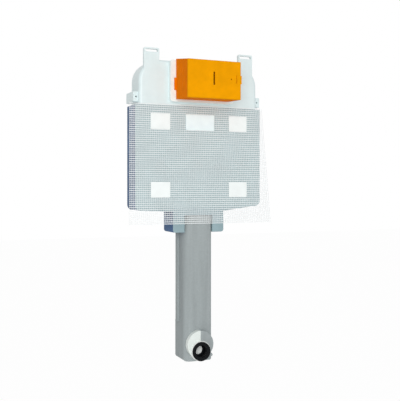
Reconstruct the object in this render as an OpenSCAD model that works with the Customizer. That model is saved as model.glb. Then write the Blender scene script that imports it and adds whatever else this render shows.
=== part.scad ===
// Slim concealed cistern for a chased wall: moulded tank in a foam jacket, plaster net,
// builder's guard over the service window, flush and fill valves, insulated flush bend.
// The front faces -Y, the wall face is Y = 0, and Z = 0 is the middle of the wide body.

/* [Tank] */
// Width over the foam jacket
body_w = 410; // [390:1:460]
// Height of the wide body at its sides
body_h = 302; // [280:1:340]
// Depth from the wall face to the front
tank_d = 80; // [80:1:100]
// Moulded wall of the tank
tank_wall = 3; // [2:0.5:3.5]
// How much narrower the upper tank is at each side
shoulder_step = 12; // [8:1:20]
// Height of the upper tank above the wide body
upper_h = 135; // [130:1:160]
// Radius of the upper tank's shoulders
shoulder_r = 65; // [50:1:80]
// Moulded edge radius of the upper tank
edge_r = 10; // [5:0.5:14]
// Radius of the wide body's lower corners
corner_r = 16; // [10:1:24]
// Fall of the hopper floor from the sides to the sump
hopper_drop = 14; // [6:1:24]
// Share of that fall by which the left corner lies lower than the right one
left_share = 0.75; // [0:0.05:1]
// Depth of the valve sump below the hopper
sump_h = 12; // [10:1:30]
// Outlet line, measured from the tank's middle
outlet_x = -4; // [-10:1:10]

/* [Ears and lugs] */
// Distance of an ear's middle from the upper tank's side
ear_in = 39; // [30:1:50]
// Width of an ear
ear_w = 48; // [44:1:56]
// Height of an ear above the upper tank
ear_rise = 34; // [26:1:50]
// Thickness of an ear
ear_t = 10; // [6:1:16]
// Length of the fixing slot in an ear
slot_l = 39; // [20:1:40]
// Width of the fixing slot
slot_w = 8; // [6:0.5:10]
// Slot middle below the ear's top
slot_drop = 8.5; // [8:0.5:12]
// Height of a side lug
lug_h = 30; // [20:1:40]
// How far a side lug stands out past the jacket
lug_out = 3; // [0:1:6]
// Open notch between a side lug and the wide body
lug_gap = 8; // [4:1:12]
// Radius of the hole through a side lug
lug_hole_r = 2.5; // [2:0.1:3.5]

/* [Jacket and net] */
// Thickness of the foam jacket
jacket_t = 3; // [2:0.5:4]
// Width of the jacket round the outlet neck
neck_w = 166; // [160:1:190]
// Height of the neck below the hopper
neck_h = 64; // [56:1:80]
// Radius of the neck's lower corners
neck_r = 8; // [4:1:12]
// Net edge above the wide body's top
net_rise = 3; // [0:1:10]
// Net hem below the wide body's foot
net_fall = 52; // [30:1:60]
// Net overhang past the left side
net_left = 23; // [10:1:40]
// Net overhang past the right side, at the top
net_right = 6; // [2:1:20]
// Further overhang of the right edge at the hem
net_flare = 32; // [0:1:40]
// Thickness of the net
net_t = 1.5; // [0.8:0.1:2]
// Width of a net strand
strand_w = 3; // [1.5:0.5:5]
// Net gaps across
net_cols = 20; // [8:1:20]
// Net gaps down
net_rows = 15; // [8:1:15]
// Width of an adhesive patch
patch_w = 61; // [40:1:70]
// Height of an adhesive patch
patch_h = 47; // [30:1:60]
// Thickness of a patch
patch_t = 0.8; // [0.5:0.1:1.5]
// Patch middle's distance from the body's side
patch_in = 78; // [60:1:95]
// Upper patches' middle below the body's top
patch_top_in = 48; // [35:1:65]
// Lower patches' middle above the body's foot
patch_low_in = 51; // [35:1:65]
// Width of the blank label
label_w = 93; // [70:1:110]

/* [Window and guard] */
// Width of the service window
window_w = 150; // [140:1:156]
// Height of the service window
window_h = 92; // [84:1:98]
// Window's middle below the tank's top
window_drop = 60; // [56:1:66]
// Window middle, measured from the tank's middle
window_x = 3; // [-8:1:8]
// Width of the window frame
frame_w = 206; // [190:1:216]
// Height of the window frame
frame_h = 124; // [118:1:130]
// How far the frame stands out of the tank
frame_proud = 14; // [8:1:20]
// Guard width at the frame
guard_w = 171; // [164:1:180]
// Guard height at the frame
guard_h = 120; // [112:1:124]
// How far the guard sits above the window's middle
guard_rise = 3; // [0:1:6]
// Guard width at the cap
guard_front_w = 168; // [160:1:176]
// Guard height at the cap
guard_front_h = 111; // [104:1:118]
// How far the guard's nose droops
guard_droop = 9; // [0:1:12]
// Length of the guard sleeve
guard_l = 86; // [60:1:110]
// Guard wall
guard_wall = 3; // [2:0.5:4]
// Distance between the guard's trim lines
trim_pitch = 14; // [10:1:20]
// Depth of a trim line
trim_depth = 0.6; // [0.3:0.1:1]
// Width of a trim line
trim_w = 1.2; // [0.8:0.1:2]
// Width of a side tab
tab_w = 6; // [4:1:17]
// Height of a side tab
tab_h = 36; // [20:1:50]
// Thickness of a side tab
tab_t = 4; // [3:0.5:6]
// Thickness of the guard cap
cap_t = 6; // [4:1:10]
// Height of the cap's pull slot
pull_slot_h = 38; // [25:1:50]
// Width of the cap's pull slot
pull_slot_w = 5; // [4.5:0.5:8]

/* [Flush valve] */
// Room between the valve cage and the tank's walls
cage_room = 2; // [1.5:0.5:4]
// Wall of the valve cage
cage_wall = 2.5; // [2:0.5:3]
// Height of the valve cage
cage_h = 108; // [90:1:130]
// Wall of the valve's outlet tail
tail_wall = 4; // [3:0.5:5]
// Radial gap between the overflow tube and the waterway
tube_gap = 5; // [4.5:0.5:6]
// Wall of the overflow tube
tube_wall = 2.5; // [1.5:0.5:4]
// Top of the overflow tube below the body's top, which sets the highest water
overflow_drop = 33; // [26:1:60]
// Lever arm that lifts a rod
lift_arm = 24; // [22:0.5:25]
// Lever arm that a flush plate's rod presses
press_arm = 20; // [16:0.5:24]
// Swing of a flush lever
lever_swing = 40; // [20:1:44]
// Distance between the two flush levers
lever_pitch = 30; // [29:0.5:34]
// Radius of a lift rod
rod_r = 2.5; // [2:0.1:3]

/* [Fill valve] */
// Stop valve line, measured from the tank's middle
stop_x = 52; // [48:1:54]
// Distance between the stop valve and the fill valve
supply_run = 66; // [62:1:70]
// Radius of the fill valve's stem
stem_r = 12; // [10:0.5:13]
// Length of the stem
stem_l = 128; // [110:1:140]
// Room between the float and the tank's walls
float_room = 4; // [2:0.5:8]
// Height of the float
float_h = 45; // [30:1:50]
// Rise of the float from empty to shut
float_rise = 12; // [8:0.5:14]
// Float arm from its pin to the float's rod
float_arm_l = 26; // [25:0.5:30]
// Radius of the water inlet's threaded socket
inlet_r = 9.3; // [8:0.1:10]

/* [Flush bend] */
// Width of the flush pipe's flange
pipe_flange_w = 3; // [2.5:0.5:4]
// Wall of the flush pipe
pipe_wall = 2.5; // [1.5:0.5:3]
// Inside radius of the elbow
elbow_in = 3.5; // [2:0.5:8]
// Outlet's axis below the sump
outlet_drop = 409; // [300:1:450]
// Outlet mouth in front of the body's front
mouth_proud = 20; // [14:1:40]
// Outer radius of the rubber cuff
cuff_r = 28.5; // [27:0.5:30]
// Radius of the cuff's bore
cuff_bore_r = 18.5; // [17.5:0.5:22]
// Step of the cuff's inner stop lip
cuff_lip = 5.5; // [1:0.5:7]
// Thickness of the cuff's inner stop lip
cuff_lip_t = 3.5; // [2:0.5:6]
// Width of the insulating sleeve
sleeve_w = 90; // [86:1:100]
// Corner radius of the sleeve's left half
sleeve_left_r = 22; // [8:1:26]
// Corner radius of the sleeve's right half
sleeve_right_r = 11; // [6:1:26]
// How far the clip rail stands out of the sleeve's left side
rail_w = 6.5; // [4:0.5:8]
// Thickness of the clip rail
rail_t = 14; // [8:1:18]
// Foot of the clip rail above the outlet's axis
rail_rise = 83; // [75:1:120]
// Sleeve foam below the outlet's axis
sleeve_foot = 33; // [32:1:50]
// Radius of the sleeve's lower corners
sleeve_foot_r = 8; // [4:1:22]
// Radius of the outlet boss
boss_r = 42; // [36:1:44]
// Boss axis above the outlet's axis
boss_rise = 19; // [10:1:24]
// How far the boss stands out of the sleeve
boss_proud = 16; // [8:1:18]

/* [Hidden] */
$fn = 64;

// Clearances: bearing fits, loose fits round fixed pieces, and gaps between moving pieces
run_gap = 0.06;
fit_gap = 0.2;
free_gap = 0.4;
eps = 0.5;

tank_white = [0.93, 0.95, 0.94];
part_white = [0.90, 0.92, 0.90];
foam_teal = [0.59, 0.69, 0.70];
foam_grey = [0.60, 0.63, 0.64];
guard_orange = [0.96, 0.65, 0.02];
valve_blue = [0.35, 0.55, 0.75];
valve_grey = [0.55, 0.57, 0.60];
rubber_black = [0.05, 0.05, 0.06];
brass = [0.78, 0.63, 0.30];
steel = [0.75, 0.76, 0.78];

// Levels of the tank
body_top = body_h / 2;
body_foot = -body_h / 2;
upper_half = body_w / 2 - shoulder_step;
upper_top = body_top + upper_h;
hopper_z = body_foot - hopper_drop;
sump_z = hopper_z - sump_h;
neck_z = hopper_z - neck_h;
front_y = -tank_d;
ear_top = upper_top + ear_rise;
ear_x = upper_half - ear_in;
lug_w = shoulder_step + lug_out + 7;
lug_x = body_w / 2 + lug_out - lug_w / 2;
lug_z = body_top + lug_gap + lug_h / 2;
net_h = net_rise + body_h + net_fall;
patch_x = body_w / 2 - patch_in;
patch_top_z = body_top - patch_top_in;
patch_low_z = body_foot + patch_low_in;
window_z = upper_top - window_drop;
overflow_z = body_top - overflow_drop;
throat_h = 30;

// Flush valve: radii from the cage inwards, then the stack of levels up from the sump floor
valve_y = -tank_d / 2;
cage_r = tank_d / 2 - jacket_t - tank_wall - cage_room;
seal_gap = 1.5;
seal_r = cage_r - cage_wall - seal_gap;
seal_lap = 3;
lip_w = 3;
way_r = seal_r - seal_lap - lip_w;
tail_r = way_r + tail_wall;
tube_r = way_r - tube_gap;
floor_z = sump_z + tank_wall;
gasket_t = 3;
flange_t = 5;
flange_r = cage_r + 1;
base_z = floor_z + gasket_t;
seat_z = base_z + flange_t;
lip_h = 9;
lip_z = seat_z + lip_h;
seal_t = 3;
tube_z = lip_z + seal_t;
tail_l = 31;
tail_z = sump_z - tail_l;
nut_t = 12;
nut_r = tail_r + 8;
cage_z = seat_z + cage_h;
deck_t = 3;
foot_t = 3;
flush_float_h = 36;
window_sill = 6;
inlet_window_h = 42;
hub_wall = 4;
hub_r = tube_r + hub_wall;
lift = 2 * lift_arm * sin(lever_swing / 2);
hub_l = 16 + lift;
weight_r = hub_r + 6;
weight_h = 15;
yoke_t = 6;

// Flush levers: pivot line, rod lines and the height at which the forks carry the rods
full_x = outlet_x;
half_x = outlet_x + lever_pitch;
pin_r = 2.5;
lever_drop = 21;
lever_z = window_z - lever_drop;
lever_y = valve_y + lift_arm * (1 + cos(lever_swing / 2)) / 2;
lever_hub_r = 5.5;
lever_hub_w = 15;
fork_r = 2.5;
fork_gap = rod_r + 1;
fork_w = 3;
fork_z = lever_z - lift_arm * sin(lever_swing / 2);
cheek_t = 4;
bracket_t = 3;
bracket_h = 28;
bracket_drop = 20;
rod_stop_r = 1.8;
rod_stop_half = fork_gap + fork_w + 0.5;
rod_stop_z = fork_z + fork_r + rod_stop_r + 0.9;
rod_top_z = rod_stop_z + 6;

// Stop valve and fill valve: one line of flow under the tank's roof
roof_z = upper_top - tank_wall;
port_drop = 50;
port_z = roof_z - port_drop;
port_r = 9;
stop_r = 13;
stop_body_h = 28;
spindle_r = 4;
boss_l = 18;
handle_l = 28;
inlet_nut_t = 8;
inlet_l = 14;
inlet_z = upper_top + inlet_l + 1;
fill_x = stop_x + supply_run;
float_r = tank_d / 2 - jacket_t - tank_wall - float_room;
stem_z = port_z - 10;
head_r = 17;
head_t = 25;
cap_z = stem_z + head_t;
fill_cap_t = 6;
fill_cap_r = head_r + 2;
arm_pin_r = 1.5;
arm_x = fill_x + 9;
arm_z = cap_z + fill_cap_t + 6;
arm_swing = 2 * asin(float_rise / 2 / float_arm_l);
arm_t = 4;
arm_w = 8;
pad_reach = 8;
float_rod_x = arm_x + float_arm_l * (1 + cos(arm_swing / 2)) / 2;
float_rod_r = 2;
float_prong_z = arm_z - float_arm_l * sin(arm_swing / 2);
float_stop_r = 1.5;
float_stop_z = float_prong_z - arm_t / 2 - float_stop_r - 0.6;
float_clip_gap = 44;
float_z = stem_z - float_clip_gap - float_h;
coupling_l = 10;
stop_port_l = 24;
fill_port_l = 19;
stop_port_x = stop_x + stop_port_l;
fill_port_x = fill_x - fill_port_l;
clip_foot_w = 32;
clip_foot_h = 28;
clip_foot_drop = 24;

// Flush bend
outlet_z = sump_z - outlet_drop;
pipe_r = tail_r - 0.5 - pipe_flange_w;
bend_r = pipe_r + elbow_in;
seal_z = tail_z;
cone_t = 3;
pipe_flange_t = 3;
pipe_top_z = seal_z - cone_t;
union_lip = 3;
union_z = pipe_top_z - pipe_flange_t - union_lip;
union_r = tail_r + 8;
union_h = 18;
mouth_y = front_y - mouth_proud;
socket_wall = 2;
socket_floor = 10.5;
cuff_proud = 5;
socket_r = cuff_r + 0.1 + socket_wall;
socket_y = valve_y - bend_r;
cuff_y = socket_y - socket_floor;
sleeve_top_z = sump_z - 2;
sleeve_foot_z = outlet_z - sleeve_foot;
boss_z = outlet_z + boss_rise;
rail_z = outlet_z + rail_rise;
rail_y = valve_y + 7.5;
rail_top = neck_z - 1;
nut_room_r = nut_r + 2;

// Guard and window
frame_y = front_y - frame_proud;
spigot_l = 12;
spigot_wall = 2.5;
spigot_gap = 0.5;
guard_y = frame_y - guard_l;
guard_z = window_z + guard_rise;
guard_front_z = guard_z - guard_droop;
cap_lip = 8;
guard_mark_z = guard_front_z + 3;

// Rounded rectangle about the origin
module round_rect(w, h, r) {
    square([w - 2 * r, h], center = true);
    square([w, h - 2 * r], center = true);
    for (sx = [-1, 1], sy = [-1, 1])
        translate([sx * (w / 2 - r), sy * (h / 2 - r)]) circle(r);
}

// Turns an outline drawn in X and Z into a plate that runs from y0 to y1, y1 being nearer the front
module plate(y0, y1) {
    translate([0, y0, 0]) rotate([90, 0, 0]) linear_extrude(y0 - y1) children();
}

// Straight rod between two depths
module rod_y(x, z, y0, y1, r) {
    translate([x, y0, z]) rotate([90, 0, 0]) cylinder(h = y0 - y1, r = r);
}

// Straight rod along X
module rod_x(x0, x1, y, z, r) {
    translate([x0, y, z]) rotate([0, 90, 0]) cylinder(h = x1 - x0, r = r);
}

// Outline of the wide body, hopper and neck, set in from the jacket's outside
module wide_outline(inset, foot_z) {
    half = body_w / 2 - inset;
    corner = corner_r - inset;
    side_z = body_foot + inset;
    left_z = side_z - left_share * hopper_drop;
    slope_half = neck_w / 2 - inset;
    translate([-half, side_z + corner]) square([2 * half, body_top - side_z - corner]);
    translate([-half, left_z + corner]) square([corner, side_z - left_z + 1]);
    translate([-(half - corner), left_z + corner]) circle(corner);
    translate([half - corner, side_z + corner]) circle(corner);
    polygon([
        [-(half - corner), side_z + corner + 1], [-(half - corner), left_z],
        [outlet_x - slope_half, hopper_z + inset], [outlet_x - slope_half, foot_z + neck_r],
        [outlet_x - slope_half + neck_r, foot_z], [outlet_x + slope_half - neck_r, foot_z],
        [outlet_x + slope_half, foot_z + neck_r], [outlet_x + slope_half, hopper_z + inset],
        [half - corner, side_z], [half - corner, side_z + corner + 1]
    ]);
    for (s = [-1, 1]) translate([outlet_x + s * (slope_half - neck_r), foot_z + neck_r]) circle(neck_r);
}

// Upper tank with rounded shoulders and edges, set in from its outside
module upper_form(inset, foot_z) {
    half = upper_half - inset;
    top = upper_top - inset;
    r = shoulder_r - inset;
    e = edge_r - inset;
    d = tank_d - 2 * inset;
    translate([-(half - r), valve_y, 0]) rotate([90, 0, 90]) linear_extrude(2 * (half - r)) {
        translate([-d / 2, foot_z]) square([d, top - e - foot_z]);
        translate([-d / 2 + e, foot_z]) square([d - 2 * e, top - foot_z]);
        for (s = [-1, 1]) translate([s * (d / 2 - e), top - e]) circle(e);
    }
    translate([0, valve_y, foot_z]) linear_extrude(top - r - foot_z) round_rect(2 * half, d, e);
    for (s = [-1, 1]) translate([s * (half - r), valve_y, top - r]) rotate([90, 0, 0])
        rotate_extrude() {
            translate([0, -d / 2]) square([r - e, d]);
            translate([0, -d / 2 + e]) square([r, d - 2 * e]);
            for (t = [-1, 1]) translate([r - e, t * (d / 2 - e)]) circle(e);
        }
}

// Hanging ear with its slot's middle at slot_drop below the top
module ear(side) {
    plate(front_y + ear_t, front_y) translate([side * ear_x, ear_top - shoulder_r / 2 - ear_rise / 2])
        round_rect(ear_w, shoulder_r + ear_rise, 5);
}

module ear_slot(side) {
    plate(front_y + ear_t + eps, front_y - eps) translate([side * ear_x, ear_top - slot_drop])
        round_rect(slot_l, slot_w, slot_w / 2 - 0.01);
}

// Hollow tank with its ears and lugs, before it is parted
module tank_form() difference() {
    union() {
        upper_form(0, body_top);
        plate(0, front_y + jacket_t) wide_outline(jacket_t, sump_z);
        translate([0, valve_y, body_top])
            cube([2 * (upper_half - 2 * edge_r), tank_d - 4 * edge_r, 2 * edge_r], center = true);
        for (s = [-1, 1]) {
            ear(s);
            plate(-2, front_y + edge_r) translate([s * lug_x, lug_z]) square([lug_w, lug_h], center = true);
        }
    }
    upper_form(tank_wall, body_top + tank_wall);
    plate(-tank_wall, front_y + jacket_t + tank_wall) {
        difference() {
            wide_outline(jacket_t + tank_wall, floor_z);
            translate([-body_w, body_top - tank_wall]) square([2 * body_w, body_h]);
        }
        translate([0, body_top]) square([2 * (upper_half - edge_r), throat_h], center = true);
    }
    plate(front_y + edge_r, front_y - eps) translate([window_x, window_z]) round_rect(window_w, window_h, 6);
    translate([outlet_x, valve_y, sump_z - eps]) cylinder(h = tank_wall + 2 * eps, r = tail_r + fit_gap);
    translate([stop_x, valve_y, roof_z - eps]) cylinder(h = tank_wall + 2 * eps, r = stop_r + fit_gap);
    for (s = [-1, 1]) {
        ear_slot(s);
        rod_y(s * (body_w / 2 - shoulder_step / 2), lug_z, eps, front_y, lug_hole_r);
    }
}

// Everything between two depths
module depth_band(y0, y1) {
    plate(y0, y1) square([2 * body_w, 4 * body_h], center = true);
}

// Front half shell: the ears, the window and the front wall
module tank() color(tank_white) intersection() {
    tank_form();
    depth_band(valve_y, front_y - eps);
}

// Rear half shell, welded to the front one along the parting line
module tank_back() color(tank_white) intersection() {
    tank_form();
    depth_band(eps, valve_y);
}

module insulation_jacket() color(foam_teal) difference() {
    plate(0, front_y) wide_outline(0, neck_z);
    plate(eps, front_y + jacket_t - fit_gap) wide_outline(jacket_t - fit_gap, sump_z - fit_gap);
    plate(eps, front_y - eps) {
        translate([-body_w, body_top - fit_gap]) square([2 * body_w, 1]);
        translate([outlet_x - sleeve_w / 2 - free_gap, neck_z - eps])
            square([sleeve_w + 2 * free_gap, sump_z - neck_z + eps]);
    }
}

// Point of the net at column u and row v, both from 0 to 1; the right edge flares to the hem
function net_point(u, v) = let (
    left = -body_w / 2 - net_left,
    right = body_w / 2 + net_right + net_flare * v
) [left + u * (right - left), body_top + net_rise - v * net_h];

module plaster_net() color("white") plate(front_y, front_y - net_t) difference() {
    polygon([net_point(0, 0), net_point(1, 0), net_point(1, 1), net_point(0, 1)]);
    for (i = [0 : net_cols - 1], j = [0 : net_rows - 1]) {
        du = strand_w / body_w / 2;
        dv = strand_w / net_h / 2;
        u0 = i / net_cols + du * (i == 0 ? 2 : 1);
        u1 = (i + 1) / net_cols - du * (i == net_cols - 1 ? 2 : 1);
        v0 = j / net_rows + dv * (j == 0 ? 2 : 1);
        v1 = (j + 1) / net_rows - dv * (j == net_rows - 1 ? 2 : 1);
        polygon([net_point(u0, v0), net_point(u1, v0), net_point(u1, v1), net_point(u0, v1)]);
    }
}

module net_patches() color("white")
    for (s = [-1, 1], z = [patch_top_z, patch_low_z])
        plate(front_y - net_t, front_y - net_t - patch_t) translate([s * patch_x, z])
            round_rect(patch_w, patch_h, 2);

module label_plate() color("white")
    plate(front_y - net_t, front_y - net_t - patch_t) translate([0, patch_top_z])
        round_rect(label_w, patch_h, 2);

// Raised frame round the service window, against which the guard's tabs rest
module window_frame() color(part_white) difference() {
    plate(front_y, frame_y) translate([window_x, window_z - 2]) round_rect(frame_w, frame_h, 8);
    plate(front_y + eps, frame_y - eps) translate([window_x, window_z]) round_rect(window_w, window_h, 6);
}

// Half width, half height and middle height of the guard at depth y, drafted from the frame to the cap
function guard_draft(at_frame, at_cap, y) = at_frame + (at_cap - at_frame) * (frame_y - y) / guard_l;
function guard_half_w(y) = guard_draft(guard_w, guard_front_w, y) / 2;
function guard_half_h(y) = guard_draft(guard_h, guard_front_h, y) / 2;
function guard_mid_z(y) = guard_draft(guard_z, guard_front_z, y);

// Drafted box between two depths, smaller by inset on every side
module guard_form(inset, y0, y1) intersection() {
    translate([window_x, 0, window_z - guard_h]) linear_extrude(2 * guard_h) polygon([
        [inset - guard_half_w(y0), y0], [guard_half_w(y0) - inset, y0],
        [guard_half_w(y1) - inset, y1], [inset - guard_half_w(y1), y1]
    ]);
    translate([window_x - guard_w, 0, 0]) rotate([90, 0, 90]) linear_extrude(2 * guard_w) polygon([
        [y0, guard_mid_z(y0) - guard_half_h(y0) + inset], [y0, guard_mid_z(y0) + guard_half_h(y0) - inset],
        [y1, guard_mid_z(y1) + guard_half_h(y1) - inset], [y1, guard_mid_z(y1) - guard_half_h(y1) + inset]
    ]);
}

// Open sleeve with a spigot in the window, a tab at each side and lines to trim it along
module guard_sleeve() color(guard_orange) difference() {
    union() {
        guard_form(0, frame_y, guard_y);
        plate(frame_y + spigot_l, frame_y - guard_wall / 2) translate([window_x, window_z])
            round_rect(window_w - 2 * spigot_gap, window_h - 2 * spigot_gap, 5);
        plate(frame_y, frame_y - tab_t) translate([window_x, window_z - tab_h / 3])
            square([guard_w + 2 * tab_w, tab_h], center = true);
    }
    guard_form(guard_wall, frame_y - guard_wall, guard_y - eps);
    for (y = [frame_y - trim_pitch : -trim_pitch : guard_y + trim_pitch / 2]) difference() {
        guard_form(-eps, y, y - trim_w);
        guard_form(trim_depth, y + eps, y - trim_w - eps);
    }
    plate(frame_y + spigot_l + eps, frame_y - guard_wall - eps) translate([window_x, window_z])
        square([window_w - 2 * (spigot_gap + spigot_wall), window_h - 2 * (spigot_gap + spigot_wall)],
            center = true);
}

// Cap with bevelled edges, a lip inside the sleeve, the pull slot and two sight marks
module guard_cap() color(guard_orange) {
    bevel = 2;
    slot_in = 2;
    hole_in = 31;
    hole_r = 2;
    latch_in = 14;
    latch_h = 24;
    latch_groove = 2;
    latch_w = 3;
    w = guard_front_w;
    h = guard_front_h;
    lip_in = guard_wall + free_gap + 1;
    difference() {
        union() {
            intersection() {
                translate([window_x, 0, guard_front_z - h / 2]) linear_extrude(h) polygon([
                    [-w / 2, guard_y], [w / 2, guard_y], [w / 2, guard_y - cap_t + bevel],
                    [w / 2 - bevel, guard_y - cap_t], [-w / 2 + bevel, guard_y - cap_t],
                    [-w / 2, guard_y - cap_t + bevel]
                ]);
                translate([window_x - w / 2, 0, guard_front_z]) rotate([90, 0, 90])
                    linear_extrude(w) polygon([
                        [guard_y, -h / 2], [guard_y, h / 2], [guard_y - cap_t + bevel, h / 2],
                        [guard_y - cap_t, h / 2 - bevel], [guard_y - cap_t, -h / 2 + bevel],
                        [guard_y - cap_t + bevel, -h / 2]
                    ]);
            }
            plate(guard_y + cap_lip, guard_y - cap_t / 2) translate([window_x, guard_front_z]) difference() {
                square([w - 2 * lip_in, h - 2 * lip_in], center = true);
                square([w - 2 * lip_in - 4, h - 2 * lip_in - 4], center = true);
            }
            plate(guard_y, guard_y - cap_t + bevel)
                translate([window_x + w / 2 - bevel, guard_mark_z - latch_h / 2])
                    square([latch_w + bevel, latch_h]);
        }
        plate(guard_y + eps + cap_lip, guard_y - cap_t - eps) translate([window_x - slot_in, guard_mark_z])
            square([pull_slot_w, pull_slot_h], center = true);
        rod_y(window_x + w / 2 - hole_in, guard_mark_z, guard_y + eps, guard_y - cap_t - eps, hole_r);
        plate(guard_y - cap_t / 2, guard_y - cap_t - eps)
            translate([window_x + w / 2 - latch_in, guard_mark_z])
                square([latch_groove, latch_h], center = true);
    }
}

// Flanged seat of the flush valve with its tail through the sump floor
module valve_base() color(valve_grey) translate([outlet_x, valve_y, 0]) difference() {
    union() {
        translate([0, 0, base_z]) cylinder(h = flange_t, r = flange_r);
        translate([0, 0, tail_z]) cylinder(h = seat_z - tail_z, r = tail_r);
        translate([0, 0, seat_z - 1]) cylinder(h = lip_h + 1, r = way_r + lip_w);
    }
    translate([0, 0, tail_z - eps]) cylinder(h = lip_z - tail_z + 2 * eps, r = way_r);
}

module base_gasket() color(rubber_black) translate([outlet_x, valve_y, floor_z]) difference() {
    cylinder(h = gasket_t, r = flange_r - 1);
    translate([0, 0, -eps]) cylinder(h = gasket_t + 2 * eps, r = tail_r + fit_gap);
}

module tail_nut() color(part_white) translate([outlet_x, valve_y, sump_z - nut_t]) difference() {
    cylinder(h = nut_t, r = nut_r, $fn = 6);
    translate([0, 0, -eps]) cylinder(h = nut_t + 2 * eps, r = tail_r + fit_gap);
}

// Cage with inlet windows round its foot and a guide hub for the overflow tube
module valve_cage() color(valve_blue) translate([outlet_x, valve_y, 0]) difference() {
    union() {
        translate([0, 0, seat_z]) cylinder(h = cage_h, r = cage_r);
        translate([0, 0, cage_z - 1]) cylinder(h = hub_l + 1, r = hub_r);
    }
    translate([0, 0, seat_z - eps]) cylinder(h = cage_h - deck_t + eps, r = cage_r - cage_wall);
    translate([0, 0, cage_z - deck_t - eps]) cylinder(h = deck_t + hub_l + 2 * eps, r = tube_r + run_gap);
    for (k = [0 : 2]) rotate([0, 0, 60 * k + 30])
        translate([-2 * cage_r, -cage_r * 0.3, seat_z + window_sill])
            cube([4 * cage_r, cage_r * 0.6, inlet_window_h]);
}

module overflow_tube() color(part_white) translate([outlet_x, valve_y, 0]) difference() {
    union() {
        translate([0, 0, tube_z]) cylinder(h = overflow_z - tube_z, r = tube_r);
        translate([0, 0, tube_z]) cylinder(h = foot_t, r = seal_r);
    }
    translate([0, 0, tube_z - eps]) cylinder(h = overflow_z - tube_z + 2 * eps, r = tube_r - tube_wall);
}

module valve_seal() color(rubber_black) translate([outlet_x, valve_y, lip_z]) difference() {
    cylinder(h = seal_t, r = seal_r);
    translate([0, 0, -eps]) cylinder(h = seal_t + 2 * eps, r = tube_r - tube_wall);
}

// Hollow ring on the tube that keeps the valve afloat until the water is out
module flush_float() color([0.95, 0.85, 0.35]) translate([outlet_x, valve_y, tube_z + foot_t]) difference() {
    cylinder(h = flush_float_h, r = seal_r - 1);
    translate([0, 0, -eps]) cylinder(h = flush_float_h + 2 * eps, r = tube_r + fit_gap);
    translate([0, 0, -eps]) rotate_extrude() translate([tube_r + tube_wall, 0])
        square([seal_r - 1 - tube_r - 2 * tube_wall, flush_float_h - tube_wall]);
}

// Cap ring and bridge on the tube's top, which the full-flush rod pulls
module tube_yoke() color(valve_blue) translate([outlet_x, valve_y, 0]) {
    difference() {
        translate([0, 0, overflow_z - 10]) cylinder(h = 10 + yoke_t, r = tube_r + 3);
        translate([0, 0, overflow_z - 10 - eps]) cylinder(h = 10 + eps, r = tube_r + fit_gap);
        translate([0, 0, overflow_z - eps]) cylinder(h = yoke_t + 2 * eps, r = tube_r - tube_wall);
    }
    translate([-tube_r, -4, overflow_z]) cube([2 * tube_r, 8, yoke_t]);
}

// Lift rod with the cross pin that a lever's fork carries
module lift_rod(x, foot) translate([x, valve_y, 0]) {
    translate([0, 0, foot]) cylinder(h = rod_top_z - foot, r = rod_r);
    rod_x(-rod_stop_half, rod_stop_half, 0, rod_stop_z, rod_stop_r);
    translate([0, 0, foot]) cylinder(h = 5, r = rod_r + 1.5);
}

module full_lift_rod() color(steel) lift_rod(full_x, overflow_z + yoke_t);

// Ring that slides on the cage's hub and brings the valve down early for a half flush
module half_flush_weight() color(valve_grey) translate([outlet_x, valve_y, cage_z]) difference() {
    union() {
        cylinder(h = weight_h, r = weight_r);
        translate([0, -5, weight_h - 4]) cube([lever_pitch + 5, 10, 4]);
    }
    translate([0, 0, -eps]) cylinder(h = weight_h + 2 * eps, r = hub_r + run_gap);
}

module half_lift_rod() color(steel) lift_rod(half_x, cage_z + weight_h);

// Bearing block on the tank's back wall, with a pair of cheeks for each lever
module lift_bracket() color(part_white) {
    cheek_in = lever_hub_w / 2 + free_gap;
    difference() {
        union() {
            translate([full_x - cheek_in - cheek_t, -tank_wall - bracket_t, lever_z - bracket_drop])
                cube([lever_pitch + 2 * (cheek_in + cheek_t), bracket_t, bracket_h]);
            for (x = [full_x, half_x], s = [-1, 1])
                translate([x + s * (cheek_in + cheek_t / 2) - cheek_t / 2, 0, 0]) {
                    rod_x(0, cheek_t, lever_y, lever_z, lever_hub_r);
                    translate([0, lever_y, lever_z - lever_hub_r])
                        cube([cheek_t, -tank_wall - eps - lever_y, 2 * lever_hub_r]);
                }
        }
        rod_x(full_x - 2 * lever_hub_w, half_x + 2 * lever_hub_w, lever_y, lever_z, pin_r + 0.02);
    }
}

module lever_pin() color(steel) {
    end = lever_hub_w / 2 + free_gap + cheek_t;
    rod_x(full_x - end - 2, half_x + end + 2, lever_y, lever_z, pin_r);
    rod_x(full_x - end - 3.5, full_x - end - fit_gap, lever_y, lever_z, pin_r + 1.5);
}

// Bell crank: a forked arm under the rod's cross pin and an upright arm with a round press pad
module flush_lever(x) translate([x, lever_y, lever_z]) rotate([lever_swing / 2, 0, 0]) difference() {
    union() {
        rod_x(-lever_hub_w / 2, lever_hub_w / 2, 0, 0, lever_hub_r);
        translate([-fork_gap - fork_w, -lift_arm, -fork_r])
            cube([2 * (fork_gap + fork_w), lift_arm, 2 * fork_r]);
        rod_x(-fork_gap - fork_w, fork_gap + fork_w, -lift_arm, 0, fork_r);
        translate([-5, -2.5, 0]) cube([10, 5, press_arm]);
        rod_y(0, press_arm, 2.5, -4.5, 8);
    }
    rod_x(-lever_hub_w, lever_hub_w, 0, 0, pin_r + run_gap);
    translate([-fork_gap, -lift_arm - 2 * fork_r, -2 * fork_r])
        cube([2 * fork_gap, 2 * fork_r + rod_r + 3, 4 * fork_r]);
}

module full_flush_lever() color(valve_blue) flush_lever(full_x);

module half_flush_lever() color(valve_blue) flush_lever(half_x);

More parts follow.
